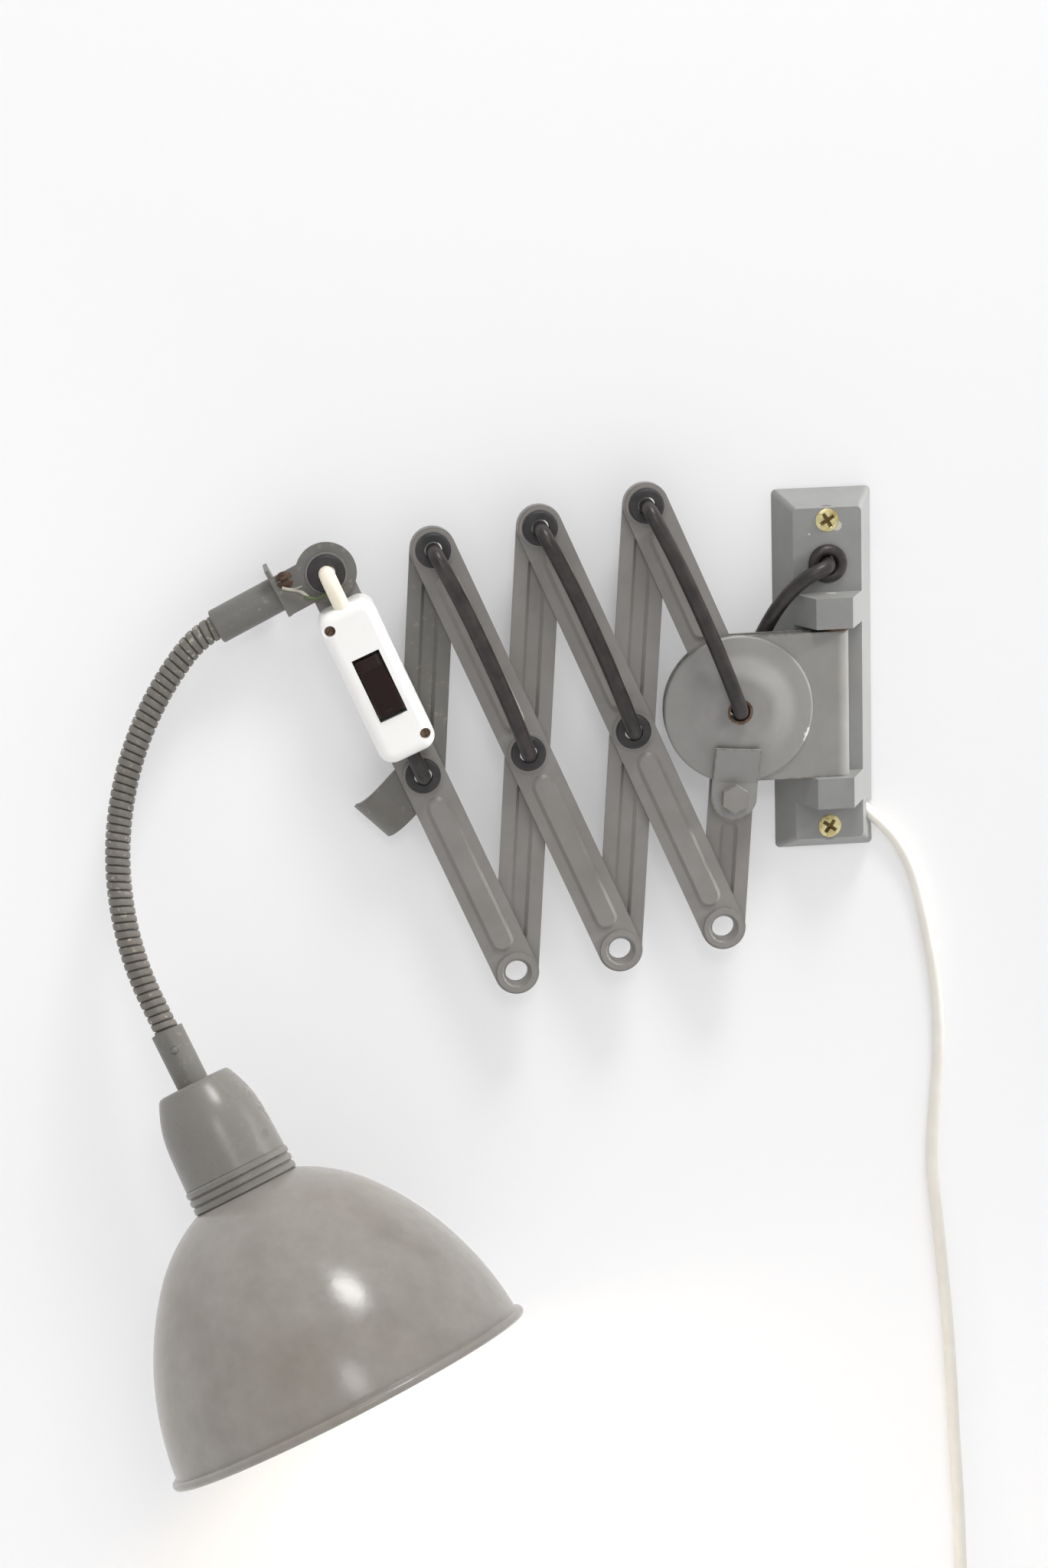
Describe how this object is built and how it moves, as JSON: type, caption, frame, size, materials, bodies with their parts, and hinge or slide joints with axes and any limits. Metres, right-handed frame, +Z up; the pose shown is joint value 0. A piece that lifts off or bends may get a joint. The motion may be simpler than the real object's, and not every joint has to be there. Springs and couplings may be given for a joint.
{
  "type": "adjustable wall lamp",
  "caption": "Grey wall lamp: hinged wall plate, scissor arm of pressed links carrying a rubber lead through hollow pivots, cord switch, ribbed gooseneck and dome shade.",
  "frame": {"origin": "on the wall, midway between the two wall screws", "axes": "+X right along the wall, +Z up, -Y out into the room; millimetres in the source"},
  "size_m": [0.4426, 0.1721, 0.7121],
  "materials": {
    "grey_paint": "semi-gloss, worn",
    "steel": "dulled, rusty edges",
    "black_rubber": "satin",
    "cream_rubber": "satin",
    "white_plastic": "gloss",
    "brown_plastic": "gloss",
    "brass": "plain",
    "bulb_glass": "frosted"
  },
  "bodies": {
    "wall": {"wall_plate": "grey_paint", "wall_grommet": "black_rubber", "hinge_pin": "steel", "hinge_washer": "steel", "wall_lead": "black_rubber", "terminal_block": "white_plastic", "mains_cord": "white_plastic", "mains_cord_coil": "white_plastic", "coil_tie": "white_plastic", "plug_body": "white_plastic", "plug_pins": "brass"},
    "swivel": {"swivel_bracket": "grey_paint", "hinge_bush": "steel", "friction_disc": "grey_paint", "tilt_axle": "steel"},
    "lower_link": {"lower_half_link": "grey_paint", "clamp_strap": "grey_paint", "clamp_bolt": "steel", "clamp_spacer": "steel", "clamp_nut": "steel"},
    "upper_link": {"upper_half_link": "grey_paint", "upper_half_rivet": "grey_paint", "upper_half_grommet": "black_rubber", "front_lead_1": "black_rubber"},
    "front_1": {"front_link_1": "grey_paint", "front_link_1_rivets": "grey_paint", "front_link_1_grommets": "black_rubber", "front_lead_2": "black_rubber"},
    "rear_1": {"rear_link_1": "grey_paint", "rear_lead_1": "black_rubber"},
    "front_2": {"front_link_2": "grey_paint", "front_link_2_rivets": "grey_paint", "front_link_2_grommets": "black_rubber", "front_lead_3": "black_rubber"},
    "rear_2": {"rear_link_2": "grey_paint", "rear_lead_2": "black_rubber"},
    "front_3": {"front_link_3": "grey_paint", "front_link_3_rivets": "grey_paint", "front_link_3_grommet": "black_rubber", "front_lead_4": "black_rubber", "switch_base": "white_plastic", "switch_cover": "white_plastic", "switch_boot": "cream_rubber"},
    "rear_3": {"rear_half_link": "grey_paint", "rear_lead_3": "black_rubber"},
    "rocker": {"switch_rocker": "brown_plastic"},
    "neck": {"neck_bracket": "grey_paint", "neck_eyelet": "grey_paint", "neck_grommet": "black_rubber", "neck_sleeve": "grey_paint", "neck_lead": "black_rubber", "gooseneck_upper": "grey_paint"},
    "neck_mid": {"gooseneck_lower": "grey_paint"},
    "head": {"neck_ferrule": "grey_paint", "socket_cap": "grey_paint", "shade_ring": "grey_paint", "lamp_holder": "brown_plastic", "bulb": "bulb_glass", "shade": "grey_paint"}
  },
  "joints": [
    {"name": "swivel", "type": "hinge", "parent": "wall", "child": "swivel", "pos_m": [0.0017, -0.0192, -0.01005], "axis": [0, 0, 1], "range_deg": [0, 120], "deforming": ["wall_lead"]},
    {"name": "arm_tilt", "type": "hinge", "parent": "swivel", "child": "lower_link", "pos_m": [-0.0386, -0.0209, -0.01005], "axis": [0, -1, 0], "range_deg": [-35, 10]},
    {"name": "scissor", "type": "hinge", "parent": "lower_link", "child": "front_1", "pos_m": [-0.04561, -0.0209, -0.10011], "axis": [0, -1, 0], "range_deg": [0, 70]},
    {"name": "upper_link_pivot", "type": "hinge", "parent": "lower_link", "child": "upper_link", "pos_m": [-0.0386, -0.0209, -0.01005], "axis": [0, -1, 0], "range_deg": [0, 70]},
    {"name": "cross_1", "type": "hinge", "parent": "front_1", "child": "rear_1", "pos_m": [-0.08079, -0.0209, -0.01691], "axis": [0, -1, 0], "range_deg": [-70, 0]},
    {"name": "lower_2", "type": "hinge", "parent": "rear_1", "child": "front_2", "pos_m": [-0.0878, -0.0209, -0.10697], "axis": [0, -1, 0], "range_deg": [0, 70]},
    {"name": "cross_2", "type": "hinge", "parent": "front_2", "child": "rear_2", "pos_m": [-0.12297, -0.0209, -0.02377], "axis": [0, -1, 0], "range_deg": [-70, 0]},
    {"name": "lower_3", "type": "hinge", "parent": "rear_2", "child": "front_3", "pos_m": [-0.12998, -0.0209, -0.11383], "axis": [0, -1, 0], "range_deg": [0, 70]},
    {"name": "cross_3", "type": "hinge", "parent": "front_3", "child": "rear_3", "pos_m": [-0.16516, -0.0209, -0.03063], "axis": [0, -1, 0], "range_deg": [-70, 0]},
    {"name": "switch_rocker", "type": "hinge", "parent": "front_3", "child": "rocker", "pos_m": [-0.18201, -0.0335, 0.00922], "axis": [-0.921, 0, -0.3894], "range_deg": [-8, 0]},
    {"name": "neck_turn", "type": "hinge", "parent": "front_3", "child": "neck", "pos_m": [-0.20034, -0.0209, 0.05257], "axis": [0, -1, 0], "range_deg": [-60, 5]},
    {"name": "neck_bend", "type": "hinge", "parent": "neck", "child": "neck_mid", "pos_m": [-0.26888, -0.01912, 0.00414], "axis": [-0.1282, -0.9563, 0.2628], "range_deg": [-25, 5], "deforming": ["gooseneck_upper"]},
    {"name": "neck_sway", "type": "hinge", "parent": "neck_mid", "child": "head", "pos_m": [-0.28389, -0.04212, -0.08688], "axis": [0.9688, -0.0641, 0.2393], "range_deg": [-20, 5], "deforming": ["gooseneck_lower"]}
  ],
  "couplings": [
    {"joint": "upper_link_pivot", "follows": "scissor", "ratio": 1},
    {"joint": "cross_1", "follows": "scissor", "ratio": -1},
    {"joint": "lower_2", "follows": "scissor", "ratio": 1},
    {"joint": "cross_2", "follows": "scissor", "ratio": -1},
    {"joint": "lower_3", "follows": "scissor", "ratio": 1},
    {"joint": "cross_3", "follows": "scissor", "ratio": -1}
  ]
}
